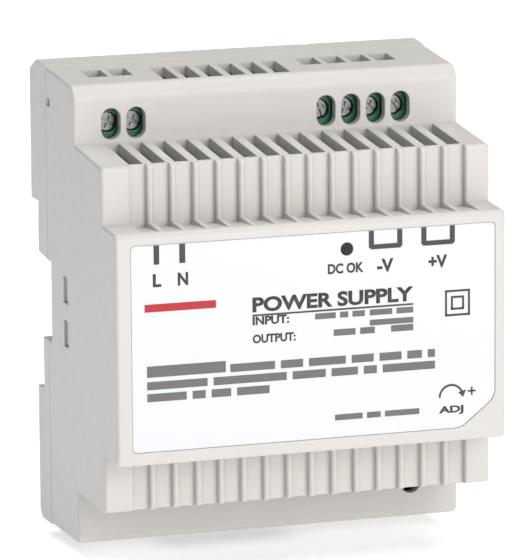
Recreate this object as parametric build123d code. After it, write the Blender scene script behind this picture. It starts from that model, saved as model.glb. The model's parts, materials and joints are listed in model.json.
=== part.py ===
from build123d import *
import os

# DIN rail power supply. X is the width, +Y points back to the rail, +Z is up.
# The origin is the centre of the 35 mm rail, on the plane that its flanges rest against.

# ---------------------------------------------------------------- housing
width = 78.0
body_height = 90.0
wall = 2.0
rear_y = 4.5                 # rear plane of the upper block, behind the rail seat
lower_rear_y = 1.4           # rear plane of the lower block, set forward so the unit can tilt on
seam_y = -6.5                # joint between front cover and rear base
terminal_y = -24.9           # face with the terminal holes, and the lower base face
rib_y = -42.8                # ribbed faces above and below the label panel
panel_y = -51.5              # label panel
rib_wall = 2.8               # wall behind the ribbed faces

upper_face_drop = 11.6       # height of the upper terminal face
rib_height = 10.9            # height of each ribbed face
lower_face_height = 10.1     # height of the lower base face
ledge_slope = 1.7            # fall of the vent ledge, terminal face to ribs
panel_ledge_slope = 0.5      # fall of the ledge above the label panel
edge_round = 0.8
top_round = 3.0
panel_round = 1.4
panel_low_round = 0.6
side_round = 0.6
bottom_chamfer = 1.6
top_chamfer_depth = 4.6
top_chamfer_drop = 2.3
roof_slope = 0.083           # rise of the top towards the rear, per mm
roof_level_y = -17.0         # where the top stands at its nominal height
seam_bevel = 0.35            # bevel of the rear base along the joint
nick_x = 15.2                # small notch in the rear edge of the top
nick_width = 2.0
nick_depth = 0.7

# ---------------------------------------------------------------- rail interface
rail_width = 35.0
rail_thickness = 1.0
rail_slot = 37.0
seat_height = 10.0           # height of the upper land
seat_relief = 0.2            # land is this much deeper under the hooks
hook_reach = 1.8             # how far a hook lip covers the rail flange
hook_gap = 0.25              # play of the flange behind the hook lip
hook_width = 10.0
hook_pitch = 26.0
hook_bevel = 0.8
relief_play = 0.3
land_depth = 2.6             # lower land, in front of the seat, filled by the latch
recess_depth = 8.5           # middle recess, clear of rail screws
recess_height = 15.9
recess_centre = -0.15
recess_wall = 1.6

# ---------------------------------------------------------------- rail latch
latch_width = 20.0
latch_flange = 2.0           # width of each guide flange
latch_flange_thickness = 1.2
latch_play = 0.1
latch_side_play = 0.2
latch_travel = 3.5
latch_tab = 3.0              # how far the tab stands below the housing
latch_lip = 1.9              # how far the nose covers the rail flange
latch_nose_y = 3.2
latch_seat_gap = 2.5         # from the middle recess down to the latch's upper end
tab_slot_width = 6.0
tab_slot_height = 1.4
spring_wire = 0.4
spring_radius = 1.4          # to the wire's centre line
spring_length = 10.0
spring_turns = 6
boss_height = 2.0
boss_width = 3.6
boss_z = -36.0               # lower face of the spring boss
window_play = 0.3

# ---------------------------------------------------------------- ribs and vents
groove_margin = 5.3          # plain band at each side of the ribs
groove_shift = 0.4           # middle groove, right of the middle of the housing
groove_pitch = 4.57
groove_width = 3.4
groove_depth = 1.4
groove_mouth = 0.3           # bevel along the edges of the ribs
slot_width = 2.7
slot_web = 0.5               # between a groove's floor and its vent slot
slot_setback = 0.8           # from the terminal face to the vent slots
lower_slot_bar = 1.6         # bar between the lower grooves and the lower vent slots
run_out_depth = 1.1          # depth of the groove run-outs in the panel ledge
run_out_stop = 1.5           # run-outs end this far behind the label panel
vent_count = 6
vent_pitch = 4.52
vent_width = 3.0
vent_first_x = -18.3
vent_front_y = -21.7
vent_rear_y = -12.2

# ---------------------------------------------------------------- terminals
input_x = -29.0
input_pitch = 5.0
input_poles = 2
output_x = 19.62
output_pitch = 5.08
output_poles = 4
output_shift = -0.5          # output block, from the middle of its holes in the cover
terminal_drop = 7.95         # from the top of the housing down to the screws
hole_width = 3.9
hole_height = 6.1
entry_width = 3.9
entry_front_y = -16.9
entry_rear_y = -11.3
housing_height = 10.0        # above the board
housing_depth = 9.4
housing_margin = 5.3         # from the terminal screw up to the wire side
screw_radius = 1.15
screw_head_radius = 1.75
screw_head_height = 0.9
screw_sink = 0.8             # head below the front of the terminal block
screw_driver_slot = 0.6
screw_slot_depth = 0.5
screw_cross_depth = 0.4
screw_turns = (24, 28, 70, 20, 35, 50)  # resting angle of each screw's slot
screw_pitch = 0.45
clamp_travel = 2.2
clamp_width = 3.6
clamp_length = 4.8
clamp_height = 4.6
clamp_wall = 0.6
clamp_play = 0.2
thread_play = 0.05
contact_thickness = 0.6
contact_half = 1.1
contact_overhang = 1.2       # beyond each end of the clamp
parting_width = 0.4          # grooves between the poles
parting_depth = 0.6

# ---------------------------------------------------------------- label panel
label_margin_left = 3.0
label_margin_right = 2.2
label_margin_top = 2.2
label_margin_bottom = 2.6
label_recess = 0.3
label_thickness = 0.2
label_round = 0.8
label_cut_round = 3.4
label_cut_x = 7.0
label_cut_z = 5.5
led_x = 6.87
led_drop = 5.44              # from the top of the label panel
led_hole = 1.2
pipe_radius = 1.5
fit_play = 0.1

# ---------------------------------------------------------------- trimmer
trimmer_x = 29.2
trimmer_rise = 7.0           # above the bottom of the housing
trimmer_hole = 2.1
trimmer_size = 6.6
trimmer_height = 4.8
rotor_radius = 1.8
rotor_height = 0.8

# ---------------------------------------------------------------- snaps
snap_y = -18.3
snap_width = 3.0
snap_height = 5.3
snap_z = (3.95, -4.65)
snap_play = 0.2
tongue_thickness = 1.4
tongue_nose = 1.2
barb_low = 1.3               # barb below the housing side, at its front
barb_high = 0.5              # and at its rear
pry_drop = 5.9
pry_size = 1.6
pry_depth = 2.4
pry_bite = 0.8

# ---------------------------------------------------------------- circuit board
board_thickness = 1.6
board_gap = 0.7              # between the recess wall and the board
board_side_play = 0.9        # between the board's edges and the snap tongues
board_margin = 3.5           # from the housing's outer top and bottom
sheet_thickness = 0.3
board_screw_inset = 3.5      # from the board's side edges
board_screw_upper = 19.5     # from the board's top edge
board_screw_lower = 11.5     # from the board's bottom edge
board_screw_radius = 1.4
board_screw_head = 2.6
board_screw_length = 7.0
post_radius = 3.0

# ---------------------------------------------------------------- derived places
half = width / 2
top = body_height / 2
bottom = -body_height / 2
terminal_z = top - terminal_drop
trimmer_z = bottom + trimmer_rise
pry_z = top - pry_drop
groove_count = int((width - 2 * groove_margin - groove_width) / groove_pitch + 0.01) + 1
terminal_low = top - upper_face_drop
rib_top = terminal_low - ledge_slope
rib_bottom = rib_top - rib_height
panel_top = rib_bottom - panel_ledge_slope
lower_rib_bottom = bottom + lower_face_height
panel_bottom = lower_rib_bottom + rib_height - 0.1
slot_top = rail_slot / 2
flange_edge = rail_width / 2
land_top = slot_top
recess_top = recess_centre + recess_height / 2
recess_bottom = recess_centre - recess_height / 2
led_z = panel_top - led_drop
label_left = -half + label_margin_left
label_right = half - label_margin_right
label_top = panel_top - label_margin_top
label_bottom = panel_bottom + label_margin_bottom
core_y = -recess_depth - recess_wall
inner_half = half - wall
core_half = inner_half - snap_play
board_half = core_half - tongue_thickness - board_side_play
board_top = top - board_margin
board_bottom = bottom + board_margin
board_screw_x = board_half - board_screw_inset
board_screw_upper_z = board_top - board_screw_upper
board_screw_lower_z = board_bottom + board_screw_lower
board_rear = core_y - board_gap
board_front = board_rear - board_thickness
housing_front = board_front - housing_height
lip_front = rail_thickness + hook_gap


def block(x0, x1, y0, y1, z0, z1):
    """A box between two corners."""
    return Pos((x0 + x1) / 2, (y0 + y1) / 2, (z0 + z1) / 2) * Box(abs(x1 - x0), abs(y1 - y0), abs(z1 - z0))


def rod_y(x, z, radius, y0, y1):
    """A round rod along Y."""
    return Pos(x, (y0 + y1) / 2, z) * Rot(90, 0, 0) * Cylinder(radius, abs(y1 - y0))


def rod_z(x, y, radius, z0, z1):
    """A round rod along Z."""
    return Pos(x, y, (z0 + z1) / 2) * Cylinder(radius, abs(z1 - z0))


def rod_x(y, z, radius, x0, x1):
    """A round rod along X."""
    return Pos((x0 + x1) / 2, y, z) * Rot(0, 90, 0) * Cylinder(radius, abs(x1 - x0))


def outline(points, rounds=None):
    """A closed face through 2-D points; rounds gives a radius for some of the corners."""
    face = make_face(Polyline(*points, close=True))
    rounds = rounds or {}
    for radius in sorted(set(rounds.values())):
        chosen = []
        for vertex in face.vertices():
            for index, value in rounds.items():
                x, y = points[index]
                if value == radius and abs(vertex.X - x) < 1e-4 and abs(vertex.Y - y) < 1e-4:
                    chosen.append(vertex)
        face = fillet(chosen, radius)
    return face


def prism_x(face, x0, x1):
    """A face drawn in (y, z), extruded from x0 to x1."""
    return extrude(Plane.YZ.offset(x0) * face, amount=x1 - x0)


def prism_y(face, y0, y1):
    """A face drawn in (x, z), extruded from y0 to y1."""
    return extrude(Plane.XZ.offset(-y1) * face, amount=y1 - y0)


def prism_z(face, z0, z1):
    """A face drawn in (x, y), extruded from z0 to z1."""
    return extrude(Plane.XY.offset(z0) * face, amount=z1 - z0)


def stadium_y(x, z, wide, tall, y0, y1):
    """An upright slot with round ends, cut along Y."""
    straight = tall - wide
    middle = block(x - wide / 2, x + wide / 2, y0, y1, z - straight / 2, z + straight / 2)
    ends = rod_y(x, z + straight / 2, wide / 2, y0, y1) + rod_y(x, z - straight / 2, wide / 2, y0, y1)
    return middle + ends


def pole_places(centre, pitch, count):
    """The X places of the poles of one terminal block."""
    return [centre + (i - (count - 1) / 2) * pitch for i in range(count)]


input_places = pole_places(input_x, input_pitch, input_poles)
output_places = pole_places(output_x + output_shift, output_pitch, output_poles)
output_holes = pole_places(output_x, output_pitch, output_poles)
groove_places = pole_places(groove_shift, groove_pitch, groove_count)
vent_places = [vent_first_x + i * vent_pitch for i in range(vent_count)]


def roof_z(y):
    """Height of the top of the housing, which rises a little towards the rear."""
    return top + roof_slope * (y - roof_level_y)


roof_rear_y = rear_y - top_chamfer_depth
roof_high = roof_z(roof_rear_y)


# ================================================================ front cover
def cover_points(inset):
    """The stepped side view of the front cover; the rear side is open at the seam."""
    ribs = rib_y + (rib_wall if inset else 0.0)
    faces = terminal_y + inset
    rear = seam_y + (1.0 if inset else 0.0)
    return [
        (rear, roof_z(rear) - inset),
        (faces, roof_z(faces) - inset),
        (faces, terminal_low - inset),
        (ribs, rib_top - inset),
        (ribs, rib_bottom - inset),
        (panel_y + inset, panel_top - inset),
        (panel_y + inset, panel_bottom + inset),
        (ribs, panel_bottom + inset),
        (ribs, lower_rib_bottom + inset),
        (faces, lower_rib_bottom + inset),
        (faces, bottom + inset),
        (rear, bottom + inset),
    ]


def cover_shell():
    """The hollow cover with its rounded outside edges."""
    rounds = {
        1: top_round, 3: edge_round, 5: panel_round, 6: panel_low_round, 8: edge_round, 10: bottom_chamfer,
    }
    body = prism_x(outline(cover_points(0.0), rounds), -half, half)
    sides = body.faces().filter_by(Axis.X)
    rims = [edge for face in sides for edge in face.edges() if edge.center().Y < seam_y - 0.01]
    body = fillet(rims, side_round)
    return body - prism_x(outline(cover_points(wall)), -inner_half, inner_half)


def groove_outline(x):
    """One groove in (x, y), with a bevelled mouth that breaks the edges of the ribs."""
    reach = groove_width / 2
    flare = reach + 2 * groove_mouth
    floor = rib_y + groove_depth
    return outline([
        (x - flare, rib_y - groove_mouth), (x - reach, rib_y + groove_mouth), (x - reach, floor),
        (x + reach, floor), (x + reach, rib_y + groove_mouth), (x + flare, rib_y - groove_mouth),
    ])


def groove_cuts():
    """The grooves between the ribs, with their run-outs onto the panel ledge, and the vent slots."""
    floor = rib_y + groove_depth
    rear = terminal_y - slot_setback
    reach = groove_width / 2
    slot = slot_width / 2
    roof = rib_top - wall - 1
    sole = lower_rib_bottom + wall + 1
    run_out = outline([
        (floor, rib_bottom + 1), (floor, rib_bottom - run_out_depth),
        (panel_y + run_out_stop, panel_top + 0.05), (rib_y, rib_bottom + 1),
    ])
    cuts = []
    for x in groove_places:
        cuts.append(prism_z(groove_outline(x), rib_bottom, rib_top + 2))
        cuts.append(prism_z(groove_outline(x), lower_rib_bottom - 1, panel_bottom))
        cuts.append(prism_x(run_out, x - reach, x + reach))
        cuts.append(block(x - slot, x + slot, floor + slot_web, rear, roof, terminal_low + 1))
        cuts.append(block(x - slot, x + slot, floor + lower_slot_bar, rear, lower_rib_bottom - 1, sole))
    return cuts


def cover_openings():
    """Terminal holes, wire openings, vents, trimmer hole, LED hole and snap windows."""
    cuts = []
    front = terminal_y - 1
    behind = terminal_y + wall + 1
    for x in input_places + output_holes:
        cuts.append(stadium_y(x, terminal_z, hole_width, hole_height, front, behind))
        left = x - entry_width / 2
        right = left + entry_width
        cuts.append(block(left, right, entry_front_y, entry_rear_y, top - wall - 1, roof_high + 1))
    for x in vent_places:
        for z0, z1 in ((top - wall - 1, roof_high + 1), (bottom - 1, bottom + wall + 1)):
            cuts.append(block(x - vent_width / 2, x + vent_width / 2, vent_front_y, vent_rear_y, z0, z1))
    cuts.append(rod_y(trimmer_x, trimmer_z, trimmer_hole, front, behind))
    cuts.append(rod_y(led_x, led_z, pipe_radius + fit_play, panel_y - 1, panel_y + wall + 1))
    for side in (-1, 1):
        for z in snap_z:
            cuts.append(block(
                side * (inner_half - 1), side * (half + 1), snap_y - snap_width / 2, snap_y + snap_width / 2,
                z - snap_height / 2, z + snap_height / 2))
        cuts.append(block(
            side * (half - pry_bite), side * (half + 1), seam_y - pry_depth, seam_y + 1,
            pry_z - pry_size / 2, pry_z + pry_size / 2))
        cuts.append(block(
            side * (inner_half - 1), side * (half + 1), -recess_depth, seam_y + 1, recess_bottom, recess_top))
    return cuts


def label_outline(grow):
    """The label's outline in (x, z): rounded corners and one cut corner."""
    left = label_left - grow
    right = label_right + grow
    high = label_top + grow
    low = label_bottom - grow
    points = [
        (left, low), (right - label_cut_x, low), (right, low + label_cut_z), (right, high), (left, high),
    ]
    rounds = {0: label_round, 1: label_cut_round, 2: label_cut_round, 3: label_round, 4: label_round}
    return outline(points, rounds)


def make_front_cover():
    cover = cover_shell()
    for cut in groove_cuts() + cover_openings():
        cover -= cut
    return cover - prism_y(label_outline(fit_play), panel_y - 1, panel_y + label_recess)


def make_label():
    floor = panel_y + label_recess
    label = prism_y(label_outline(0.0), floor - label_thickness, floor)
    return label - rod_y(led_x, led_z, led_hole + fit_play, panel_y - 1, floor + 1)


# ================================================================ rear base
def bevel_joint(solid, edge_z):
    """Breaks the outer edges of a block of the base where it meets the front cover."""
    rims = []
    for edge in solid.edges():
        middle = edge.center()
        outside = abs(abs(middle.X) - half) < 0.01 or abs(middle.Z - edge_z) < 0.01
        if abs(middle.Y - seam_y) < 0.01 and outside:
            rims.append(edge)
    return chamfer(rims, seam_bevel)


def base_upper():
    """Upper block of the base: rear wall, rail seat and the roof with its rear chamfer."""
    points = [
        (seam_y, roof_z(seam_y)), (roof_rear_y, roof_high), (rear_y, roof_high - top_chamfer_drop),
        (rear_y, land_top), (0.0, land_top), (0.0, land_top - seat_height), (seam_y, recess_top),
    ]
    solid = bevel_joint(prism_x(outline(points, {1: edge_round, 2: edge_round}), -half, half), roof_z(seam_y))
    relief_top = flange_edge - hook_reach - relief_play
    solid -= block(-half - 1, half + 1, -seat_relief, 1, relief_top, land_top)
    return solid


def base_lower():
    """Lower block of the base, with the flat land that the latch slides over."""
    points = [
        (seam_y, recess_bottom), (-land_depth, recess_bottom), (-land_depth, -slot_top),
        (lower_rear_y, -slot_top), (lower_rear_y, bottom + bottom_chamfer),
        (lower_rear_y - bottom_chamfer, bottom), (seam_y, bottom),
    ]
    return bevel_joint(prism_x(outline(points, {}), -half, half), bottom)


def base_core():
    """The middle part that reaches into the cover behind the circuit board."""
    solid = block(-core_half, core_half, core_y, seam_y + 0.5, recess_bottom - wall, recess_top + wall)
    return solid - block(-half, half, -recess_depth, 1, recess_bottom, recess_top)


def base_pockets():
    """The hollow inside of the upper and lower blocks."""
    open_y = core_y - 1
    fall = top_chamfer_drop * (top_chamfer_depth - wall) / top_chamfer_depth
    bend_y = roof_rear_y - 1
    upper = outline([
        (open_y, roof_z(open_y) - wall), (bend_y, roof_z(bend_y) - wall),
        (rear_y - wall, roof_high - wall - fall),
        (rear_y - wall, land_top + wall), (-wall, land_top + wall), (-wall, recess_top + wall),
        (open_y, recess_top + wall),
    ])
    lower = outline([
        (open_y, recess_bottom - wall), (-land_depth - wall, recess_bottom - wall),
        (-land_depth - wall, -slot_top - wall), (lower_rear_y - wall, -slot_top - wall),
        (lower_rear_y - wall, bottom + wall), (open_y, bottom + wall),
    ])
    channel_half = latch_width / 2 + latch_flange + latch_side_play + wall
    floor = -land_depth - wall
    pockets = [
        prism_x(upper, -inner_half, inner_half),
        prism_x(lower, -inner_half, -channel_half),
        prism_x(lower, channel_half, inner_half),
        block(-channel_half - 1, channel_half + 1, open_y, floor, bottom + wall, recess_bottom - wall),
    ]
    return pockets


def base_hooks():
    """Fixed hooks over the upper rail flange."""
    hooks = []
    lip = flange_edge - hook_reach
    for x in (-hook_pitch, 0.0, hook_pitch):
        points = [
            (-seat_relief - 0.5, land_top + 0.5), (-seat_relief - 0.5, land_top),
            (0.0, flange_edge + hook_gap),
            (lip_front, flange_edge + hook_gap), (lip_front, lip + hook_bevel), (lip_front + hook_bevel, lip),
            (rear_y, lip), (rear_y, land_top + 0.5),
        ]
        hooks.append(prism_x(outline(points), x - hook_width / 2, x + hook_width / 2))
    return hooks


def base_channel():
    """The guide channel that the rail latch slides in."""
    narrow = latch_width / 2 + latch_side_play
    wide = narrow + latch_flange
    ledge = -land_depth + latch_play + latch_flange_thickness + latch_play
    deep = block(-narrow, narrow, -land_depth, rear_y + 1, bottom - 1, -slot_top + 0.01)
    flanges = block(-wide, wide, -land_depth, ledge, bottom - 1, -slot_top + 0.01)
    return deep + flanges


def base_tongues():
    """Snap tongues with barbs that fill the cover's side windows."""
    tongues = []
    for side in (-1, 1):
        for z in snap_z:
            z0 = z - snap_height / 2 + snap_play
            z1 = z + snap_height / 2 - snap_play
            front = snap_y - snap_width / 2 - tongue_nose
            arm = block(side * (core_half - tongue_thickness), side * core_half, front, core_y + 0.5, z0, z1)
            barb_front = snap_y - snap_width / 2 + snap_play
            barb_rear = snap_y + snap_width / 2 - snap_play
            points = [
                (side * (core_half - 0.3), barb_front), (side * (half - barb_low), barb_front),
                (side * (half - barb_high), barb_rear), (side * (core_half - 0.3), barb_rear),
            ]
            tongues.append(arm + prism_z(outline(points), z0, z1))
    return tongues


def base_posts():
    """Posts that the circuit board is screwed to."""
    posts = []
    for side in (-1, 1):
        x = side * board_screw_x
        posts.append((x, board_screw_upper_z, rear_y - wall))
        posts.append((x, board_screw_lower_z, lower_rear_y - wall))
    return posts


def make_rear_base():
    base = base_upper() + base_lower() + base_core()
    for pocket in base_pockets():
        base -= pocket
    for hook in base_hooks():
        base += hook
    base -= base_channel()
    boss_top = boss_z + boss_height
    boss = block(-boss_width / 2, boss_width / 2, -land_depth - 0.5, lower_rear_y - 0.4, boss_z, boss_top)
    stub = rod_z(0, spring_axis_y, stub_radius, boss_top - 0.5, boss_top + stub_length)
    base += boss + stub
    for tongue in base_tongues():
        base += tongue
    for x, z, floor in base_posts():
        base += rod_y(x, z, post_radius, board_rear, floor + 0.5)
        base -= rod_y(x, z, board_screw_radius, board_rear - 1, board_rear + board_screw_length)
    right = nick_x + nick_width
    nick_low = roof_high - nick_depth
    return base - block(nick_x, right, roof_rear_y - 0.6, roof_rear_y + 0.8, nick_low, roof_high + 1)


# ================================================================ rail latch
latch_back = -land_depth + latch_play
latch_face = lower_rear_y - latch_play
spring_axis_y = (latch_back + latch_face) / 2
stub_radius = spring_radius - spring_wire / 2 - 0.2
stub_length = 1.0
window_top = boss_z + boss_height + spring_length
window_bottom = boss_z - window_play
latch_end = bottom - latch_tab


def make_rail_latch():
    half_latch = latch_width / 2
    body = block(-half_latch, half_latch, latch_back, latch_face, latch_end, -slot_top)
    wide = half_latch + latch_flange
    flanges = block(-wide, wide, latch_back, latch_back + latch_flange_thickness, bottom + 2, -slot_top)
    seat_top = recess_bottom - latch_seat_gap
    flanges += block(-wide, wide, latch_back, latch_back + latch_flange_thickness, -slot_top - 1, seat_top)
    seat = block(-half_latch, half_latch, latch_back, 0.0, -slot_top - 0.5, seat_top)
    lip_y = rail_thickness + hook_gap
    lip_z = -flange_edge + latch_lip
    nose = outline([
        (0.0, -slot_top - 2.5), (0.0, -flange_edge - 0.3), (lip_y, -flange_edge - 0.3), (lip_y, lip_z - 0.6),
        (lip_y + 0.5, lip_z), (latch_nose_y, lip_z - 1.4), (latch_nose_y, -slot_top - 2.5),
    ])
    latch = body + flanges + seat + prism_x(nose, -half_latch + 1, half_latch - 1)
    window_half = boss_width / 2 + window_play
    latch -= block(-window_half, window_half, latch_back - 1, latch_face + 1, window_bottom, window_top)
    latch += rod_z(0, spring_axis_y, stub_radius, window_top - stub_length, window_top + 0.5)
    slot_z = bottom - 0.5
    slot_half = tab_slot_width / 2
    slot_low = slot_z - tab_slot_height
    return latch - block(-slot_half, slot_half, latch_back - 1, latch_face + 1, slot_low, slot_z)


def make_latch_spring():
    z0 = boss_z + boss_height + spring_wire / 2 + 0.02
    height = spring_length - spring_wire - 0.04
    path = Helix(pitch=height / spring_turns, height=height, radius=spring_radius)
    section = Plane(origin=path @ 0, z_dir=path % 0) * Circle(spring_wire / 2)
    return Pos(0, spring_axis_y, z0) * sweep(section, path=path, is_frenet=True)


# ================================================================ circuit board
def screw_places():
    return [(side * board_screw_x, z) for side in (-1, 1) for z in (board_screw_upper_z, board_screw_lower_z)]


def make_board():
    board = block(-board_half, board_half, board_front, board_rear, board_bottom, board_top)
    for x, z in screw_places():
        board -= rod_y(x, z, board_screw_radius + 0.2, board_front - 1, board_rear + 1)
    return board


def make_board_screws():
    screws = []
    for x, z in screw_places():
        head = rod_y(x, z, board_screw_head, board_front - 1.8, board_front)
        tip = board_rear + board_screw_length - 0.5
        shank = rod_y(x, z, board_screw_radius - 0.05, board_front - 0.5, tip)
        cross = block(x - 1.6, x + 1.6, board_front - 2, board_front - 1, z - 0.3, z + 0.3)
        cross += block(x - 0.3, x + 0.3, board_front - 2, board_front - 1, z - 1.6, z + 1.6)
        screws.append(head + shank - cross)
    return Compound(children=screws)


def make_insulation_sheet():
    rear = core_y
    return block(-core_half + 2, core_half - 2, rear - sheet_thickness, rear, recess_bottom, recess_top)


# ================================================================ terminal blocks
head_front = housing_front + screw_sink
head_back = head_front + screw_head_height
clamp_rear = board_front - 1.2
clamp_front = clamp_rear - clamp_height
contact_front = clamp_front + clamp_wall + 0.1
contact_back = contact_front + contact_thickness
housing_top_z = terminal_z + housing_margin
housing_bottom_z = housing_top_z - housing_depth
clamp_z0 = terminal_z - clamp_length / 2
clamp_z1 = terminal_z + clamp_length / 2
contact_z0 = clamp_z0 - contact_overhang
contact_z1 = clamp_z1 + contact_overhang


def make_terminal_housing(places, pitch):
    """A green terminal block: one clamp pocket, screw well and wire entry for each pole."""
    left = places[0] - pitch / 2
    right = places[-1] + pitch / 2
    body = block(left, right, housing_front, board_front, housing_bottom_z, housing_top_z)
    for x in places:
        pocket_half = clamp_width / 2 + clamp_play
        pocket_front = clamp_front - clamp_travel - clamp_play
        body -= block(
            x - pocket_half, x + pocket_half, pocket_front, clamp_rear + clamp_play,
            clamp_z0 - clamp_play, clamp_z1 + clamp_play)
        body -= rod_y(x, terminal_z, screw_head_radius + clamp_play, housing_front - 1, head_back + 0.1)
        body -= rod_y(x, terminal_z, screw_radius + clamp_play, housing_front, pocket_front + 1)
        entry_half = clamp_width / 2 - clamp_wall
        entry_rear = clamp_rear - clamp_wall
        body -= block(x - entry_half, x + entry_half, contact_back, entry_rear, clamp_z1, housing_top_z + 1)
        body -= block(
            x - contact_half - fit_play, x + contact_half + fit_play, contact_front - fit_play,
            contact_back + fit_play, contact_z0, contact_z1)
    for x in places[:-1]:
        left = x + pitch / 2 - parting_width / 2
        body -= block(
            left, left + parting_width, housing_front - 1, housing_front + parting_depth,
            housing_bottom_z - 1, housing_top_z + 1)
    return body


def make_contacts(places):
    """The fixed contact bars that the wires are clamped against."""
    bars = []
    for x in places:
        bars.append(block(
            x - contact_half, x + contact_half, contact_front, contact_back, contact_z0, contact_z1))
    return Compound(children=bars)


def make_terminal_screw(x, turn):
    head = rod_y(x, terminal_z, screw_head_radius, head_front, head_back)
    shank = rod_y(x, terminal_z, screw_radius, head_back - 0.3, contact_front - 0.05)
    reach = screw_driver_slot / 2
    slot_floor = head_front + screw_slot_depth
    cross_floor = head_front + screw_cross_depth
    driver = block(x - 2, x + 2, head_front - 1, slot_floor, terminal_z - reach, terminal_z + reach)
    driver += block(
        x - reach, x + reach, head_front - 1, cross_floor, terminal_z - 1.2, terminal_z + 1.2)
    return head + shank - driver.rotate(Axis((x, head_front, terminal_z), (0, 1, 0)), turn)


def make_clamp(x):
    """A rising clamp cage: a square metal tube, threaded on its front wall."""
    half_clamp = clamp_width / 2
    cage = block(x - half_clamp, x + half_clamp, clamp_front, clamp_rear, clamp_z0, clamp_z1)
    inner = half_clamp - clamp_wall
    front = clamp_front + clamp_wall
    cage -= block(x - inner, x + inner, front, clamp_rear - clamp_wall, clamp_z0 - 1, clamp_z1 + 1)
    return cage - rod_y(x, terminal_z, screw_radius + thread_play, clamp_front - 1, front + 0.5)


# ================================================================ indicator and trimmer
def make_status_led():
    body = rod_y(led_x, led_z, 1.5, board_front - 3.2, board_front)
    rim = rod_y(led_x, led_z, 1.8, board_front - 1.0, board_front)
    return body + rim


def make_light_pipe():
    front = panel_y + label_recess
    shaft = rod_y(led_x, led_z, pipe_radius, front, board_front - 3.3)
    return shaft + rod_y(led_x, led_z, pipe_radius + 0.8, panel_y + wall, panel_y + wall + 1.0)


def make_trimmer_body():
    reach = trimmer_size / 2
    front = board_front - trimmer_height
    body = block(
        trimmer_x - reach, trimmer_x + reach, front, board_front, trimmer_z - reach, trimmer_z + reach)
    bore = rod_y(trimmer_x, trimmer_z, rotor_radius + fit_play, front - 1, front + rotor_height)
    pin = rod_y(trimmer_x, trimmer_z, 0.6 + fit_play, front, front + rotor_height + 1.5)
    body = chamfer(body.edges().filter_by(Axis.Y), 0.6)
    return body - bore - pin


def make_trimmer_rotor():
    front = board_front - trimmer_height - 0.3
    disc = rod_y(trimmer_x, trimmer_z, rotor_radius, front, front + rotor_height)
    pin = rod_y(trimmer_x, trimmer_z, 0.6, front + rotor_height - 0.2, front + rotor_height + 1.4)
    slot = block(trimmer_x - 2, trimmer_x + 2, front - 1, front + 0.45, trimmer_z - 0.3, trimmer_z + 0.3)
    slot += block(trimmer_x - 0.3, trimmer_x + 0.3, front - 1, front + 0.45, trimmer_z - 1.1, trimmer_z + 1.1)
    return disc + pin - slot


# ================================================================ components on the board
def on_board(x, z, size_x, size_z, height):
    """A box-shaped part that stands on the board."""
    left = x - size_x / 2
    low = z - size_z / 2
    return block(left, left + size_x, board_front - height, board_front, low, low + size_z)


def can(x, z, radius, height):
    """A capacitor can with a vent cross, a crimp groove and a rubber bung end."""
    body = rod_y(x, z, radius, board_front - height, board_front)
    body = fillet(body.edges().filter_by(GeomType.CIRCLE), 0.5)
    ring = rod_y(x, z, radius + 1, board_front - 2.6, board_front - 2.0)
    ring -= rod_y(x, z, radius - 0.4, board_front - 3, board_front)
    face = board_front - height
    arm = radius * 0.6
    cross = block(x - arm, x + arm, face - 1, face + 0.2, z - 0.2, z + 0.2)
    cross += block(x - 0.2, x + 0.2, face - 1, face + 0.2, z - arm, z + arm)
    return body - ring - cross


def disc(x, z, radius, thickness, lead):
    """A disc-shaped part standing on two short legs."""
    y = board_front - lead - radius
    body = rod_x(y, z, radius, x - thickness / 2, x + thickness / 2)
    body = fillet(body.edges().filter_by(GeomType.CIRCLE), thickness * 0.3)
    for side in (-1, 1):
        body += rod_y(x, z + side * radius * 0.6, 0.4, board_front - lead - radius * 0.6, board_front)
    return body


# Places are (x, z) on the board. The upper row keeps clear of the wall under the vent ledge.
upper_row_z = board_top - 13.0 - wall
lower_row_z = board_bottom + 3.0
fuse_x = -23.5
fuse_radius = 4.0
fuse_height = 8.0
thermistor_x = -15.5
thermistor_thickness = 4.0
varistor_x = -9.5
varistor_thickness = 3.5
disc_radius = 4.5
disc_lead = 2.5
film_place = (-24.0, 14.0)
film_size = (18.0, 8.0, 14.0)
bridging_place = (-10.5, 13.0)
bridging_radius = 3.5
bridging_thickness = 3.0
bulk_place = (-24.5, -20.0)
bulk_radius = 8.0
bulk_height = 25.0
output_can_x = 28.6
output_can_z = (2.0, 13.2)
output_can_radius = 5.0
output_can_height = 20.0
filter_can_x = 24.0
filter_can_radius = 4.0
filter_can_height = 12.0
inductor_x = 14.0
inductor_radius = 4.5
inductor_height = 12.0
inductor_flange = 1.5
controller_place = (6.0, board_bottom + 7.5)
controller_size = (9.6, 6.4, 3.4)
controller_pins = 4
coupler_place = (-3.0, 13.0)
coupler_size = (4.6, 6.4, 3.6)
coupler_pins = 2
pin_pitch = 2.54
resistor_places = [
    (-22.0, lower_row_z), (-9.0, lower_row_z), (-9.0, lower_row_z + 4.0), (20.0, board_bottom + 14.5),
    (20.0, board_bottom + 10.5),
]
resistor_radius = 1.15
resistor_length = 6.4
resistor_span = 9.4
diode_places = [(-31.0, lower_row_z), (17.0, lower_row_z), (-9.0, board_top - 20.5)]
diode_radius = 1.3
diode_length = 4.6
diode_span = 8.4
axial_wire = 0.3
bridge_place = (-20.0, board_bottom + 11.0)
bridge_size = (14.4, 3.4, 11.0)
bridge_lead = 3.0
bridge_pin_pitch = 3.8


choke_x = -24.5
choke_z = 0.0
choke_core_outer = 7.0
choke_core_inner = 4.0
choke_core_height = 6.0
choke_wire = 1.0
choke_base_size = 16.0
choke_base_height = 1.5
choke_winding_gap = 1.5      # half the gap between the two windings


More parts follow.
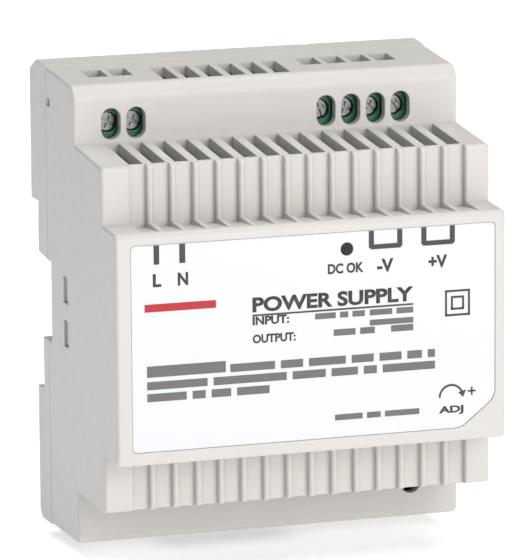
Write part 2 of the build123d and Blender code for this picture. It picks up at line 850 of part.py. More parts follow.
def choke_ring(outer, inner, extra):
    """A ring that lies flat over the choke's base."""
    back = board_front - choke_base_height - choke_wire + extra
    front = board_front - choke_base_height - choke_wire - choke_core_height - extra
    return rod_y(choke_x, choke_z, outer, front, back) - rod_y(choke_x, choke_z, inner, front - 1, back + 1)


def make_choke_core():
    return choke_ring(choke_core_outer, choke_core_inner, 0.0)


def make_choke_windings():
    """Two windings on opposite sides of the ring core."""
    reach = choke_core_outer + choke_wire
    full = choke_ring(reach, choke_core_inner - choke_wire, choke_wire)
    full -= choke_ring(choke_core_outer, choke_core_inner, 0.0)
    halves = []
    for side in (-1, 1):
        inner = choke_x + side * choke_winding_gap
        outer = choke_x + side * (reach + 1)
        halves.append(full & block(inner, outer, panel_y, 0, choke_z - reach - 1, choke_z + reach + 1))
    return Compound(children=halves)


transformer_x = 2.0
transformer_z = -4.0
core_width = 25.0
core_height = 20.0
core_thickness = 7.0
core_yoke = 3.3
core_leg = 3.5               # half the width of the centre leg
core_side_leg = 3.3
bobbin_wall = 0.8
bobbin_rail = 4.0            # the core's height above the board
bobbin_half_z = 9.0
bobbin_flange = 1.0
bobbin_clear = 0.5
core_back = board_front - bobbin_rail
window_back = core_back - core_yoke
window_front = core_back - core_height + core_yoke
window_half = core_width / 2 - core_side_leg


def make_transformer_core():
    """Two E-shaped ferrite halves that meet in the middle of the bobbin."""
    x = transformer_x
    z0 = transformer_z - core_thickness / 2
    z1 = transformer_z + core_thickness / 2
    core = block(x - core_width / 2, x + core_width / 2, core_back - core_height, core_back, z0, z1)
    for side in (-1, 1):
        core -= block(x + side * core_leg, x + side * window_half, window_front, window_back, z0 - 1, z1 + 1)
    middle = core_back - core_height / 2
    front = core & block(x - core_width, x + core_width, middle - core_height, middle, z0 - 1, z1 + 1)
    back = core & block(x - core_width, x + core_width, middle, middle + core_height, z0 - 1, z1 + 1)
    return Compound(children=[front, back])


def square_ring(half_out_x, half_out_z, half_in_x, half_in_z, y0, y1):
    """A square ring around the transformer's centre leg."""
    x = transformer_x
    z = transformer_z
    ring = block(x - half_out_x, x + half_out_x, y0, y1, z - half_out_z, z + half_out_z)
    return ring - block(x - half_in_x, x + half_in_x, y0 - 1, y1 + 1, z - half_in_z, z + half_in_z)


def make_transformer_bobbin():
    """A square tube with two flanges, on two rails that stand on the board."""
    inner_x = core_leg + fit_play
    inner_z = core_thickness / 2 + fit_play
    y0 = window_front + fit_play
    y1 = window_back - fit_play
    flange_x = window_half - fit_play
    tube = square_ring(inner_x + bobbin_wall, inner_z + bobbin_wall, inner_x, inner_z, y0, y1)
    tube += square_ring(flange_x, bobbin_half_z, inner_x, inner_z, y0, y0 + bobbin_flange)
    tube += square_ring(flange_x, bobbin_half_z, inner_x, inner_z, y1 - bobbin_flange, y1)
    left = transformer_x - core_width / 2
    right = transformer_x + core_width / 2
    for side in (-1, 1):
        z0 = transformer_z + side * (core_thickness / 2 + bobbin_clear)
        z1 = transformer_z + side * bobbin_half_z
        tube += block(left, right, y1 - bobbin_flange, board_front, z0, z1)
    return tube


def make_transformer_winding():
    inner_x = core_leg + bobbin_wall + 2 * fit_play
    inner_z = core_thickness / 2 + bobbin_wall + 2 * fit_play
    y0 = window_front + 2 * fit_play + bobbin_flange
    y1 = window_back - 2 * fit_play - bobbin_flange
    return square_ring(window_half - bobbin_clear, bobbin_half_z - bobbin_clear, inner_x, inner_z, y0, y1)


heat_thickness = 1.6
primary_heat_z = -24.0
primary_heat_x = (-14.0, 10.0)
primary_heat_height = 20.0
transistor_x = -2.0
secondary_heat_x = 18.0
secondary_heat_z = (-18.0, 8.0)
secondary_heat_height = 24.0
rectifier_z = -9.0
package_width = 10.0
package_lead = 4.0
package_body = 9.0
package_tab = 15.5
package_tab_thickness = 1.3
package_thickness = 4.4
package_hole = 1.6
package_hole_height = 12.8
package_screw_head = 2.7


def power_package():
    """A three-lead power package, its tab's back on z = 0, its leads ending on y = 0."""
    reach = package_width / 2
    tab = block(-reach, reach, -package_lead - package_tab, -package_lead, 0, package_tab_thickness)
    body = block(-reach, reach, -package_lead - package_body, -package_lead, 0, package_thickness)
    package = tab + chamfer(body.faces().sort_by(Axis.Z)[-1].edges(), 0.6)
    package -= rod_z(0, -package_lead - package_hole_height, package_hole, -1, package_thickness)
    for i in (-1, 0, 1):
        lead_x = i * pin_pitch
        package += block(lead_x - 0.4, lead_x + 0.4, -package_lead - 0.5, 0, 2.2, 2.7)
    return package


def package_screw():
    """The screw that holds a power package, in the package's own frame."""
    y = -package_lead - package_hole_height
    head_top = package_tab_thickness + 2.0
    head = rod_z(0, y, package_screw_head, package_tab_thickness, head_top)
    shank = rod_z(0, y, package_hole - thread_play, -heat_thickness, package_tab_thickness + 0.5)
    reach = package_screw_head + 1
    slot = block(-reach, reach, y - 0.4, y + 0.4, head_top - 0.8, head_top + 1)
    return head + shank - slot


def package_bore():
    return rod_z(0, -package_lead - package_hole_height, package_hole, -heat_thickness - 1, 1)


primary_place = Pos(transistor_x, board_front, primary_heat_z - heat_thickness / 2) * Rot(0, 180, 0)
secondary_place = Pos(secondary_heat_x + heat_thickness / 2, board_front, rectifier_z) * Rot(0, 90, 0)


def make_primary_heatsink():
    z0 = primary_heat_z - heat_thickness / 2
    left, right = primary_heat_x
    plate = block(left, right, board_front - primary_heat_height, board_front, z0, z0 + heat_thickness)
    return plate - primary_place * package_bore()


def make_secondary_heatsink():
    x0 = secondary_heat_x - heat_thickness / 2
    plate = block(
        x0, x0 + heat_thickness, board_front - secondary_heat_height, board_front, secondary_heat_z[0],
        secondary_heat_z[1])
    return plate - secondary_place * package_bore()


def make_heatsink_screws():
    return Compound(children=[primary_place * package_screw(), secondary_place * package_screw()])


def make_inductor_core():
    """A ferrite drum that stands on the board."""
    front = board_front - inductor_height
    drum = rod_y(inductor_x, upper_row_z, inductor_radius, front, front + inductor_flange)
    drum += rod_y(inductor_x, upper_row_z, inductor_radius, board_front - inductor_flange, board_front)
    return drum + rod_y(inductor_x, upper_row_z, inductor_radius / 2, front, board_front)


def make_inductor_winding():
    y0 = board_front - inductor_height + inductor_flange + fit_play
    y1 = board_front - inductor_flange - fit_play
    coil = rod_y(inductor_x, upper_row_z, inductor_radius - bobbin_clear, y0, y1)
    return coil - rod_y(inductor_x, upper_row_z, inductor_radius / 2 + fit_play, y0 - 1, y1 + 1)


def axial(place, radius, length, span):
    """An axial part lying along X on two bent legs."""
    x, z = place
    y = board_front - radius - 0.3
    body = rod_x(y, z, radius, x - length / 2, x + length / 2)
    body += rod_x(y, z, axial_wire, x - span / 2, x + span / 2)
    for side in (-1, 1):
        body += rod_y(x + side * (span / 2 - axial_wire), z, axial_wire, y - axial_wire, board_front)
    return body


def make_resistors():
    shapes = [axial(place, resistor_radius, resistor_length, resistor_span) for place in resistor_places]
    return Compound(children=shapes)


def make_diodes():
    return Compound(children=[axial(place, diode_radius, diode_length, diode_span) for place in diode_places])


def dual_row_chip(place, size, pins):
    """A chip with a row of bent pins on two sides."""
    x, z = place
    chip = on_board(x, z, *size) - on_board(x, z, size[0] + 1, size[1] + 1, 0.5)
    for i in range(pins):
        pin_x = x + (i - (pins - 1) / 2) * pin_pitch
        for side in (-1, 1):
            pin_z = z + side * (size[1] / 2 + 0.4)
            root_z = z + side * (size[1] / 2 - 0.2)
            chip += block(pin_x - 0.5, pin_x + 0.5, board_front - 2.0, board_front - 1.6, root_z, pin_z)
            chip += block(
                pin_x - 0.3, pin_x + 0.3, board_front - 2.0, board_front, pin_z - 0.15, pin_z + 0.15)
    return chip


def make_bridge():
    """A flat four-lead bridge rectifier that stands on its leads."""
    x, z = bridge_place
    wide, deep, tall = bridge_size
    front = board_front - bridge_lead - tall
    bridge = block(x - wide / 2, x + wide / 2, front, board_front - bridge_lead, z - deep / 2, z + deep / 2)
    for i in range(4):
        pin_x = x + (i - 1.5) * bridge_pin_pitch
        root = board_front - bridge_lead - 0.5
        bridge += block(pin_x - 0.4, pin_x + 0.4, root, board_front, z - 0.3, z + 0.3)
    return bridge


# ================================================================ export
nodes = {
    "front_cover": make_front_cover(),
    "label": make_label(),
    "rear_base": make_rear_base(),
    "rail_latch": make_rail_latch(),
    "latch_spring": make_latch_spring(),
    "main_board": make_board(),
    "board_screws": make_board_screws(),
    "insulation_sheet": make_insulation_sheet(),
    "input_terminal_housing": make_terminal_housing(input_places, input_pitch),
    "output_terminal_housing": make_terminal_housing(output_places, output_pitch),
    "input_contacts": make_contacts(input_places),
    "output_contacts": make_contacts(output_places),
    "status_led": make_status_led(),
    "light_pipe": make_light_pipe(),
    "trimmer_body": make_trimmer_body(),
    "trimmer_rotor": make_trimmer_rotor(),
    "fuse": can(fuse_x, upper_row_z, fuse_radius, fuse_height),
    "inrush_thermistor": disc(thermistor_x, upper_row_z, disc_radius, thermistor_thickness, disc_lead),
    "varistor": disc(varistor_x, upper_row_z, disc_radius, varistor_thickness, disc_lead),
    "input_capacitor": on_board(*film_place, *film_size),
    "choke_base": on_board(choke_x, choke_z, choke_base_size, choke_base_size, choke_base_height),
    "choke_core": make_choke_core(),
    "choke_windings": make_choke_windings(),
    "bridge_rectifier": make_bridge(),
    "bulk_capacitor": can(*bulk_place, bulk_radius, bulk_height),
    "bridging_capacitor": disc(*bridging_place, bridging_radius, bridging_thickness, disc_lead),
    "transformer_core": make_transformer_core(),
    "transformer_bobbin": make_transformer_bobbin(),
    "transformer_winding": make_transformer_winding(),
    "primary_heatsink": make_primary_heatsink(),
    "switching_transistor": primary_place * power_package(),
    "secondary_heatsink": make_secondary_heatsink(),
    "output_rectifier": secondary_place * power_package(),
    "heatsink_screws": make_heatsink_screws(),
    "output_capacitor_1": can(output_can_x, output_can_z[0], output_can_radius, output_can_height),
    "output_capacitor_2": can(output_can_x, output_can_z[1], output_can_radius, output_can_height),
    "output_capacitor_3": can(filter_can_x, upper_row_z, filter_can_radius, filter_can_height),
    "inductor_core": make_inductor_core(),
    "inductor_winding": make_inductor_winding(),
    "optocoupler": dual_row_chip(coupler_place, coupler_size, coupler_pins),
    "controller": dual_row_chip(controller_place, controller_size, controller_pins),
    "resistors": make_resistors(),
    "diodes": make_diodes(),
}
pole_names = ["l", "n", "minus_1", "minus_2", "plus_1", "plus_2"]
for pole, x, turn in zip(pole_names, input_places + output_places, screw_turns):
    nodes["terminal_screw_" + pole] = make_terminal_screw(x, turn)
    nodes["clamp_" + pole] = make_clamp(x)

os.makedirs("parts", exist_ok=True)
for name, shape in nodes.items():
    export_step(shape, "parts/" + name + ".step")
print(len(nodes), "nodes written")
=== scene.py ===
"""DIN rail power supply: finishes, printed label, small details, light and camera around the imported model."""

import json
import math

import bmesh
import bpy
from mathutils import Matrix, Vector


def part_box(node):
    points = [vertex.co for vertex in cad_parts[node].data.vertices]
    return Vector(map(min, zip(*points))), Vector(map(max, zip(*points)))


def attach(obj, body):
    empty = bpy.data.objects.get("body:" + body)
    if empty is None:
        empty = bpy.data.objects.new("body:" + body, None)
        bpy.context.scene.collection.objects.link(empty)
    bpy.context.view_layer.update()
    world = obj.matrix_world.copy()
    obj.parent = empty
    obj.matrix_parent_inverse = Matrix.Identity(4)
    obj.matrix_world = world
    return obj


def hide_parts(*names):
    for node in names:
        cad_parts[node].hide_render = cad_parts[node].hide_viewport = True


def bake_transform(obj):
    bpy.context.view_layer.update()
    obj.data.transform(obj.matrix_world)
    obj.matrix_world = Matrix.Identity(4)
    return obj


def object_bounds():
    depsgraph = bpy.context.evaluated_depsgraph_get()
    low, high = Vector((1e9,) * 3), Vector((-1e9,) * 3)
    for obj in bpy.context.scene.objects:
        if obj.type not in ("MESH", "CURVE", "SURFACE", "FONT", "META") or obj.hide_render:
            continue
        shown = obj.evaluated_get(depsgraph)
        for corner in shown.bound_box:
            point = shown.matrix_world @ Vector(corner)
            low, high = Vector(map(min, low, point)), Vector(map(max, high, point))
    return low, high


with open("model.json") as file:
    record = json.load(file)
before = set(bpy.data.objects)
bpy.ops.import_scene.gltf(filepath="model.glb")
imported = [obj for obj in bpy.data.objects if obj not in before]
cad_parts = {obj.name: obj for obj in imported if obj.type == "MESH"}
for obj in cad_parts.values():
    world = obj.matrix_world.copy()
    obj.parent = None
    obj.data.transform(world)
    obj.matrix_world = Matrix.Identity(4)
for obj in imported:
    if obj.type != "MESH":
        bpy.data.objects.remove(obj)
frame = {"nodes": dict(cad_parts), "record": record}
cad_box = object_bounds()
nodes = frame["nodes"]
scene = bpy.context.scene
MM = 0.001

# ---------------------------------------------------------------- places taken from the frame
label_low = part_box("label")[0]

# ================================================================ camera
CAMERA_AZIMUTH = math.radians(-18.43)
CAMERA_ELEVATION = math.radians(10.98)
CAMERA_ROLL = math.radians(-0.42)
CAMERA_DISTANCE = 1.116
CAMERA_TARGET = Vector((0.0, -23.5 * MM, 0.0))
CAMERA_RIGHT = -1.7 * MM   # sideways and upward offsets that frame the housing
CAMERA_UP = 4.2 * MM
LENS, SENSOR = 369.4, 36.0   # millimetres


def make_camera():
    """A long lens, from the left of the front and a little above."""
    azimuth, elevation, roll = CAMERA_AZIMUTH, CAMERA_ELEVATION, CAMERA_ROLL
    back = Vector((
        math.sin(azimuth) * math.cos(elevation),
        -math.cos(azimuth) * math.cos(elevation),
        math.sin(elevation),
    ))
    level = (-back).cross(Vector((0, 0, 1))).normalized()
    rise = level.cross(-back)
    right = level * math.cos(roll) + rise * math.sin(roll)
    up = rise * math.cos(roll) - level * math.sin(roll)
    camera = bpy.data.objects.new("camera", bpy.data.cameras.new("camera"))
    scene.collection.objects.link(camera)
    place = CAMERA_TARGET + back * CAMERA_DISTANCE + right * CAMERA_RIGHT + up * CAMERA_UP
    turn = Matrix((right, up, back)).transposed().to_4x4()
    camera.matrix_world = Matrix.Translation(place) @ turn
    camera.data.lens = LENS
    camera.data.sensor_width = SENSOR
    camera.data.clip_start, camera.data.clip_end = 0.01, 20.0
    scene.camera = camera


# ================================================================ finishes
NOISE_LOW, NOISE_HIGH = 0.3, 0.7   # the part of a noise texture's range that is used
EDGE_SAMPLES = 4
DRIFT_SCALE, SHEEN_SCALE = 60.0, 500.0   # plastic: cells per metre of the colour drift and the uneven sheen
PLATING_SCALE = 900.0   # metal: cells per metre of the uneven plating
GRAIN_STRENGTH, SCRATCH_STRENGTH = 0.35, 0.3
SCRATCH_DEPTH, METAL_EDGE = 0.00001, 0.0001
HOUSING_EDGE = 0.00025


def new_material(name, colour, roughness):
    """A material with its shader's plain sockets set; returns the material, its tree and its shader."""
    material = bpy.data.materials.new(name)
    material.use_nodes = True
    tree = material.node_tree
    shader = tree.nodes["Principled BSDF"]
    shader.inputs["Base Color"].default_value = (*colour, 1.0)
    shader.inputs["Roughness"].default_value = roughness
    return material, tree, shader


def noise(tree, scale, detail=3.0, stretch=(1, 1, 1)):
    """A noise texture on object coordinates; scale is in cells per metre."""
    where = tree.nodes.new("ShaderNodeTexCoord")
    mapping = tree.nodes.new("ShaderNodeMapping")
    mapping.inputs["Scale"].default_value = stretch
    texture = tree.nodes.new("ShaderNodeTexNoise")
    texture.inputs["Scale"].default_value = scale
    texture.inputs["Detail"].default_value = detail
    tree.links.new(where.outputs["Object"], mapping.inputs["Vector"])
    tree.links.new(mapping.outputs["Vector"], texture.inputs["Vector"])
    return texture.outputs["Fac"]


def vary(tree, factor, low, high, socket):
    """Maps a noise value to a range and feeds it to a socket."""
    spread = tree.nodes.new("ShaderNodeMapRange")
    spread.inputs["From Min"].default_value = NOISE_LOW
    spread.inputs["From Max"].default_value = NOISE_HIGH
    spread.inputs["To Min"].default_value = low
    spread.inputs["To Max"].default_value = high
    tree.links.new(factor, spread.inputs["Value"])
    tree.links.new(spread.outputs["Result"], socket)


def tint(tree, factor, first, second, socket):
    """Blends two colours by a noise value and feeds them to a socket."""
    mix = tree.nodes.new("ShaderNodeMix")
    mix.data_type = "RGBA"
    mix.inputs["A"].default_value = (*first, 1.0)
    mix.inputs["B"].default_value = (*second, 1.0)
    tree.links.new(factor, mix.inputs["Factor"])
    tree.links.new(mix.outputs["Result"], socket)


def add_bump(tree, shader, height, strength, distance, edge=0.0):
    """A fine surface bump, over edges softened by a small radius in metres."""
    bump = tree.nodes.new("ShaderNodeBump")
    bump.inputs["Strength"].default_value = strength
    bump.inputs["Distance"].default_value = distance
    tree.links.new(height, bump.inputs["Height"])
    if edge:
        soft = tree.nodes.new("ShaderNodeBevel")
        soft.samples = EDGE_SAMPLES
        soft.inputs["Radius"].default_value = edge
        tree.links.new(soft.outputs["Normal"], bump.inputs["Normal"])
    tree.links.new(bump.outputs["Normal"], shader.inputs["Normal"])


def moulded(name, colour, roughness=0.45, grain=9000.0, depth=0.000012, drift=0.02, edge=0.00015):
    """Moulded plastic: a fine eroded grain, faint colour drift, uneven sheen and softened edges."""
    material, tree, shader = new_material(name, colour, roughness)
    darker = tuple(c * (1 - drift) for c in colour)
    lighter = tuple(min(1.0, c * (1 + drift)) for c in colour)
    tint(tree, noise(tree, DRIFT_SCALE, 4.0), darker, lighter, shader.inputs["Base Color"])
    vary(tree, noise(tree, SHEEN_SCALE, 3.0), roughness - 0.05, roughness + 0.06, shader.inputs["Roughness"])
    add_bump(tree, shader, noise(tree, grain, 2.0), GRAIN_STRENGTH, depth, edge)
    return material


def metal(name, colour, roughness, stretch=(1, 1, 1), scale=2500.0):
    """Plated metal with fine scratches along one direction."""
    material, tree, shader = new_material(name, colour, roughness)
    shader.inputs["Metallic"].default_value = 1.0
    scratches = noise(tree, scale, 5.0, stretch)
    darker = tuple(c * 0.7 for c in colour)
    tint(tree, noise(tree, PLATING_SCALE, 4.0), darker, colour, shader.inputs["Base Color"])
    vary(tree, scratches, max(0.05, roughness - 0.12), roughness + 0.15, shader.inputs["Roughness"])
    add_bump(tree, shader, scratches, SCRATCH_STRENGTH, SCRATCH_DEPTH, METAL_EDGE)
    return material


def finish_all():
    """One procedural finish for every node of the frame."""
    film = moulded("label_film", (0.63, 0.635, 0.66), 0.35, 4000.0, 0.000003, 0.006, 0.0)
    black = moulded("black_plastic", (0.012, 0.012, 0.013), 0.4, drift=0.2)
    green = moulded("terminal_plastic", (0.004, 0.105, 0.04), 0.3, drift=0.1)
    by_slot = {
        "housing": moulded("housing_plastic", (0.545, 0.52, 0.488), edge=HOUSING_EDGE),
        "base": moulded("base_plastic", (0.54, 0.52, 0.485), edge=HOUSING_EDGE),
        "latch": moulded("latch_plastic", (0.51, 0.49, 0.455), 0.4),
        "label": film,
        "terminal_green": green,
        "black_plastic": black,
        "diode_coat": black,
        # trimmer body: its own blue plastic, made darker still as painted shade for the dark hole it sits
        # behind
        "blue_plastic": moulded("trimmer_blue_painted_shade", (0.01, 0.03, 0.10), 0.35, drift=0.05),
        "clear": moulded("clear_plastic", (0.60, 0.66, 0.58), 0.12, depth=0.000003),
        "insulation": moulded("insulation_film", (0.62, 0.58, 0.42), 0.35),
        "board": moulded("board_laminate", (0.10, 0.12, 0.05), 0.45, drift=0.12),
        "tape": moulded("yellow_tape", (0.55, 0.36, 0.04), 0.3, drift=0.05),
        "disc_coat": moulded("dipped_coating", (0.03, 0.08, 0.22), 0.25, drift=0.1),
        "can_sleeve": moulded("can_sleeve", (0.015, 0.018, 0.035), 0.25, drift=0.1),
        "resistor_coat": moulded("resistor_coating", (0.34, 0.26, 0.15), 0.35, drift=0.1),
        "ferrite": moulded("ferrite", (0.035, 0.035, 0.04), 0.55, drift=0.15),
        "steel": metal("plated_steel", (0.24, 0.24, 0.245), 0.3),
        "spring_steel": metal("spring_wire", (0.48, 0.49, 0.51), 0.25),
        "brass": metal("tinned_brass", (0.62, 0.52, 0.34), 0.3),
        "copper": metal("copper_wire", (0.45, 0.16, 0.05), 0.3),
        "aluminium": metal("aluminium_sheet", (0.60, 0.61, 0.63), 0.35, (1, 12, 1)),
    }
    for part in frame["record"]["subparts"]:
        mesh = nodes[part["node"]].data
        mesh.materials.clear()
        mesh.materials.append(by_slot[part["material_slot"]])
    smoked = moulded("smoked_lens", (0.001, 0.001, 0.001), 0.6, depth=0.000002, edge=0.0)
    nodes["light_pipe"].data.materials[0] = smoked


# ================================================================ printed label
INK = 0.00002   # thickness of the ink
PRINT_Y = label_low.y - 0.00002   # the ink's back, just in front of the film
WORD_GAP, WORD_INSET = 0.45, 0.2   # shares of a line's height
LETTER_WEIGHT = 0.036   # added to the outline of every letter
ARC_STEPS = 16
BRACKET_LINE = 1.05   # millimetres, as all places on the label are
EMBLEM_X, EMBLEM_Z, EMBLEM_LINE = 29.2, 2.95, 0.42


def flat_plate(shape, x0, x1, z0, z1):
    """A thin plate of ink on the label, in millimetres across the label."""
    made = bmesh.ops.create_grid(shape, x_segments=1, y_segments=1, size=0.5)["verts"]
    bmesh.ops.rotate(shape, verts=made, matrix=Matrix.Rotation(math.radians(90), 3, "X"))
    bmesh.ops.scale(shape, verts=made, vec=((x1 - x0) * MM, 1.0, (z1 - z0) * MM))
    bmesh.ops.translate(shape, verts=made, vec=((x0 + x1) / 2 * MM, PRINT_Y, (z0 + z1) / 2 * MM))


def print_bars(shape, bars):
    """Plates of ink from a list of (x0, x1, z0, z1)."""
    for bar in bars:
        flat_plate(shape, *bar)


def print_words(shape, left, right, low, high, lengths):
    """A line of unreadable type: one bar for each word, with the same gap between them."""
    gap = (high - low) * WORD_GAP
    unit = (right - left - gap * (len(lengths) - 1)) / sum(lengths)
    inset = (high - low) * WORD_INSET
    place = left
    for length in lengths:
        flat_plate(shape, place, place + length * unit, low + inset, high - inset)
        place += length * unit + gap


def print_text(shape, words, x0, x1, z0, z1, weight):
    """Generic lettering, stretched to a box on the label."""
    curve = bpy.data.curves.new("lettering", "FONT")
    curve.body = words
    curve.offset = weight
    curve.resolution_u = 4
    holder = bpy.data.objects.new("lettering", curve)
    mesh = bpy.data.meshes.new_from_object(holder)
    bpy.data.objects.remove(holder)
    wide = [v.co.x for v in mesh.vertices]
    tall = [v.co.y for v in mesh.vertices]
    size = Vector(((x1 - x0) * MM / (max(wide) - min(wide)), (z1 - z0) * MM / (max(tall) - min(tall)), 1.0))
    before = set(shape.verts)
    shape.from_mesh(mesh)
    made = [v for v in shape.verts if v not in before]
    bmesh.ops.translate(shape, verts=made, vec=(-min(wide), -min(tall), 0))
    bmesh.ops.scale(shape, verts=made, vec=size)
    bmesh.ops.rotate(shape, verts=made, matrix=Matrix.Rotation(math.radians(90), 3, "X"))
    bmesh.ops.translate(shape, verts=made, vec=(x0 * MM, PRINT_Y, z0 * MM))
    bpy.data.meshes.remove(mesh)


def print_arc(shape, x, z, radius, width, start, end):
    """An arc of a ring, angles in degrees from +X towards +Z."""
    made = bmesh.ops.create_grid(shape, x_segments=1, y_segments=1, size=0.5)["verts"]
    inner, outer = radius - width / 2, radius + width / 2
    edge = [v for v in made if v.co.y < 0]
    bmesh.ops.delete(shape, geom=[v for v in made if v.co.y > 0], context="VERTS")
    for vertex, reach in zip(sorted(edge, key=lambda v: v.co.x), (inner, outer)):
        turn = math.radians(start)
        vertex.co = Vector(((x + reach * math.cos(turn)) * MM, PRINT_Y, (z + reach * math.sin(turn)) * MM))
    spine = [e for e in shape.edges if all(v in edge for v in e.verts)]
    bmesh.ops.spin(
        shape, geom=edge + spine, cent=(x * MM, PRINT_Y, z * MM), axis=(0, -1, 0),
        angle=math.radians(end - start), steps=ARC_STEPS,
    )


def print_triangle(shape, *corners):
    """A small arrowhead, from three corners in (x, z)."""
    made = bmesh.ops.create_circle(shape, cap_ends=True, segments=3, radius=0.5)["verts"]
    for vertex, (x, z) in zip(made, corners):
        vertex.co = Vector((x * MM, PRINT_Y, z * MM))


def finish_print(name, shape, material):
    """Gives the ink its thickness and puts it on the label."""
    bmesh.ops.recalc_face_normals(shape, faces=shape.faces)
    for face in shape.faces:
        if face.normal.y > 0:
            face.normal_flip()
    grown = bmesh.ops.extrude_face_region(shape, geom=shape.faces[:], use_keep_orig=False)
    front = [v for v in grown["geom"] if isinstance(v, bmesh.types.BMVert)]
    bmesh.ops.translate(shape, verts=front, vec=(0, -INK, 0))
    mesh = bpy.data.meshes.new(name)
    shape.to_mesh(mesh)
    shape.free()
    mesh.materials.append(material)
    piece = bpy.data.objects.new(name, mesh)
    scene.collection.objects.link(piece)
    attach(piece, "housing")


def print_label():
    """Terminal signs, the adjuster's arrow, a heading and unreadable lines, all in generic shapes."""
    ink = moulded("dark_ink", (0.034, 0.030, 0.028), 0.5, 3000.0, 0.000002, 0.1, 0.0)
    pale_ink = moulded("line_ink", (0.12, 0.112, 0.108), 0.5, 3000.0, 0.000002, 0.1, 0.0)
    red_ink = moulded("red_ink", (0.40, 0.004, 0.010), 0.5, 3000.0, 0.000002, 0.05, 0.0)

    marks = bmesh.new()
    print_bars(marks, [(-31.56, -30.47, 14.4, 18.05), (-26.5, -25.34, 14.4, 18.05)])
    for left, right in ((11.25, 18.03), (21.86, 28.68)):
        print_bars(marks, [
            (left, left + BRACKET_LINE, 14.75, 18.05), (right - BRACKET_LINE, right, 14.75, 18.05),
            (left + 0.3, right - 0.3, 14.45, 14.75),
            (left + BRACKET_LINE, right - BRACKET_LINE, 14.75, 15.4),
        ])
    for words, box in (
        ("L", (-31.76, -30.1, 10.1, 12.6)), ("N", (-26.84, -24.82, 10.1, 12.6)),
        ("DC OK", (3.0, 10.2, 10.2, 12.2)), ("-V", (12.9, 16.2, 9.9, 12.5)), ("+V", (23.3, 27.1, 10.0, 12.5)),
        ("POWER SUPPLY", (-12.1, 20.2, 3.9, 6.8)), ("INPUT:", (-12.1, -4.8, 1.4, 3.1)),
        ("OUTPUT:", (-12.1, -3.5, -2.1, -0.4)), ("ADJ", (25.4, 30.4, -18.9, -17.1)),
    ):
        print_text(marks, words, *box, LETTER_WEIGHT)
    print_bars(marks, [(-12.1, 20.2, 3.15, 3.5)])
    print_bars(marks, [(31.3, 32.9, -14.65, -14.3), (31.93, 32.28, -15.3, -13.65)])
    print_arc(marks, 27.9, -15.4, 2.35, 0.42, 180.0, 24.0)
    print_triangle(marks, (29.35, -14.6), (30.95, -14.1), (30.35, -15.6))
    finish_print("label_signs", marks, ink)

    lines = bmesh.new()
    print_words(lines, 0.4, 10.4, 1.3, 3.2, [5, 2, 3])
    print_words(lines, 11.4, 20.2, 1.3, 3.2, [4, 3])
    print_words(lines, 11.4, 20.2, -0.65, 1.2, [1])
    print_words(lines, 4.1, 12.4, -2.2, -0.1, [3, 2])
    print_words(lines, 15.7, 20.2, -2.2, -0.1, [1])
    print_words(lines, -33.1, -17.5, -7.9, -4.3, [1])
    print_words(lines, -16.6, 24.6, -7.8, -5.2, [6, 3, 5, 3, 3, 2, 1])
    print_words(lines, -33.1, 24.6, -10.1, -7.5, [9, 11, 5, 4, 2, 8])
    print_words(lines, -33.1, -8.8, -12.4, -9.8, [6, 2, 3, 5])
    print_words(lines, 4.3, 21.4, -18.6, -16.7, [4, 2, 5])
    finish_print("label_lines", lines, pale_ink)

    emblem = bmesh.new()
    for reach in (2.55, 1.35):
        print_bars(emblem, [
            (EMBLEM_X - reach, EMBLEM_X + reach, EMBLEM_Z + reach - EMBLEM_LINE, EMBLEM_Z + reach),
            (EMBLEM_X - reach, EMBLEM_X + reach, EMBLEM_Z - reach, EMBLEM_Z - reach + EMBLEM_LINE),
            (EMBLEM_X - reach, EMBLEM_X - reach + EMBLEM_LINE, EMBLEM_Z - reach, EMBLEM_Z + reach),
            (EMBLEM_X + reach - EMBLEM_LINE, EMBLEM_X + reach, EMBLEM_Z - reach, EMBLEM_Z + reach),
        ])
    finish_print("label_emblem", emblem, ink)

    band = bmesh.new()
    print_bars(band, [(-33.45, -19.35, 5.35, 6.85)])
    finish_print("label_band", band, red_ink)


# ================================================================ latch spring
SPRING_WIRE = 0.0004
SPRING_TURNS = 6
STEPS_PER_TURN = 24
WIRE_SIDES = 10


def make_spring():
    """The latch spring as a coil, in place of the imported spring."""
    low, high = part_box("latch_spring")
    middle = (low + high) / 2
    wire = SPRING_WIRE / 2
    coil = (high.x - low.x) / 2 - wire
    steps = SPRING_TURNS * STEPS_PER_TURN
    shape = bmesh.new()
    made = bmesh.ops.create_circle(shape, segments=WIRE_SIDES, radius=wire, cap_ends=False)["verts"]
    bmesh.ops.rotate(shape, verts=made, matrix=Matrix.Rotation(math.radians(90), 3, "X"))
    bmesh.ops.translate(shape, verts=made, vec=(middle.x + coil, middle.y, low.z + wire))
    bmesh.ops.spin(
        shape, geom=shape.verts[:] + shape.edges[:], cent=(middle.x, middle.y, 0), axis=(0, 0, 1),
        dvec=(0, 0, (high.z - low.z - 2 * wire) / steps), angle=2 * math.pi * SPRING_TURNS, steps=steps,
    )
    bmesh.ops.holes_fill(shape, edges=[e for e in shape.edges if e.is_boundary], sides=0)
    bmesh.ops.recalc_face_normals(shape, faces=shape.faces)
    mesh = bpy.data.meshes.new("spring_coil")
    shape.to_mesh(mesh)
    shape.free()
    mesh.shade_smooth()
    mesh.materials.append(nodes["latch_spring"].data.materials[0])
    piece = bpy.data.objects.new("spring_coil", mesh)
    scene.collection.objects.link(piece)
    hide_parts("latch_spring")
    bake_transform(piece)


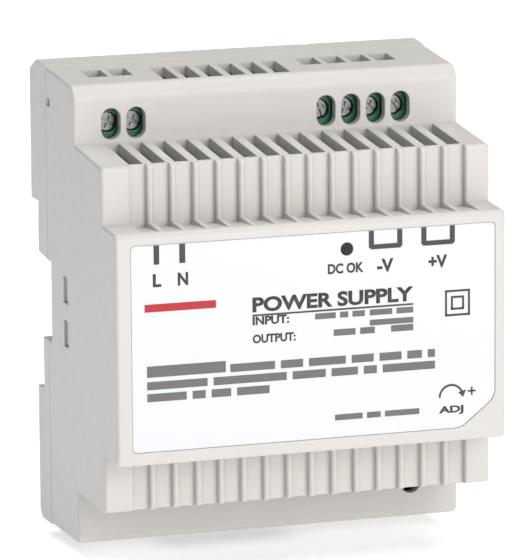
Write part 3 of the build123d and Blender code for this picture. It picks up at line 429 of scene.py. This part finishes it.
# ================================================================ light and floor
LIT_POINT = (0, -0.02, 0)
SKY_COLOUR, SKY_STRENGTH = (0.8, 0.92, 1.0, 1), 0.07
FLOOR_SIZE, FLOOR_COLOUR, FLOOR_ROUGHNESS, FLOOR_GLOW = 6.0, (0.9, 0.9, 0.9), 0.9, 0.42


def make_area(name, place, target, size, power, colour=(1, 1, 1)):
    """A rectangular lamp that faces the target."""
    lamp = bpy.data.lights.new(name, "AREA")
    lamp.shape = "RECTANGLE"
    lamp.size, lamp.size_y = size
    lamp.energy = power
    lamp.color = colour
    holder = bpy.data.objects.new(name, lamp)
    scene.collection.objects.link(holder)
    holder.location = place
    holder.rotation_euler = (Vector(target) - Vector(place)).to_track_quat("-Z", "Y").to_euler()


def make_light():
    """A bright sweep: a large box overhead, a soft box low in front and a faint cool fill on the left."""
    make_area("top_box", (0.0, 0.05, 1.0), LIT_POINT, (1.7, 1.7), 17.0)
    make_area("front_box", (0.3, -1.05, 0.36), LIT_POINT, (0.8, 0.8), 9.6)
    make_area("left_fill", (-1.0, -0.2, 0.2), LIT_POINT, (0.8, 0.8), 0.9, (0.6, 0.95, 1.4))
    world = bpy.data.worlds.new("studio")
    scene.world = world
    world.use_nodes = True
    sky = world.node_tree.nodes["Background"]
    sky.inputs["Color"].default_value = SKY_COLOUR
    sky.inputs["Strength"].default_value = SKY_STRENGTH


def make_floor():
    """A plain pale floor, level with the lowest point of the object."""
    shape = bmesh.new()
    bmesh.ops.create_grid(shape, x_segments=1, y_segments=1, size=FLOOR_SIZE)
    bmesh.ops.translate(shape, verts=shape.verts, vec=(0, 0, cad_box[0].z))
    mesh = bpy.data.meshes.new("floor")
    shape.to_mesh(mesh)
    shape.free()
    floor = bpy.data.objects.new("floor", mesh)
    scene.collection.objects.link(floor)
    material, _, shader = new_material("floor_paint", FLOOR_COLOUR, FLOOR_ROUGHNESS)
    shader.inputs["Emission Color"].default_value = (1, 1, 1, 1)
    shader.inputs["Emission Strength"].default_value = FLOOR_GLOW
    mesh.materials.append(material)


make_camera()
finish_all()
print_label()
make_spring()
make_light()
make_floor()
scene.view_settings.view_transform = "Standard"
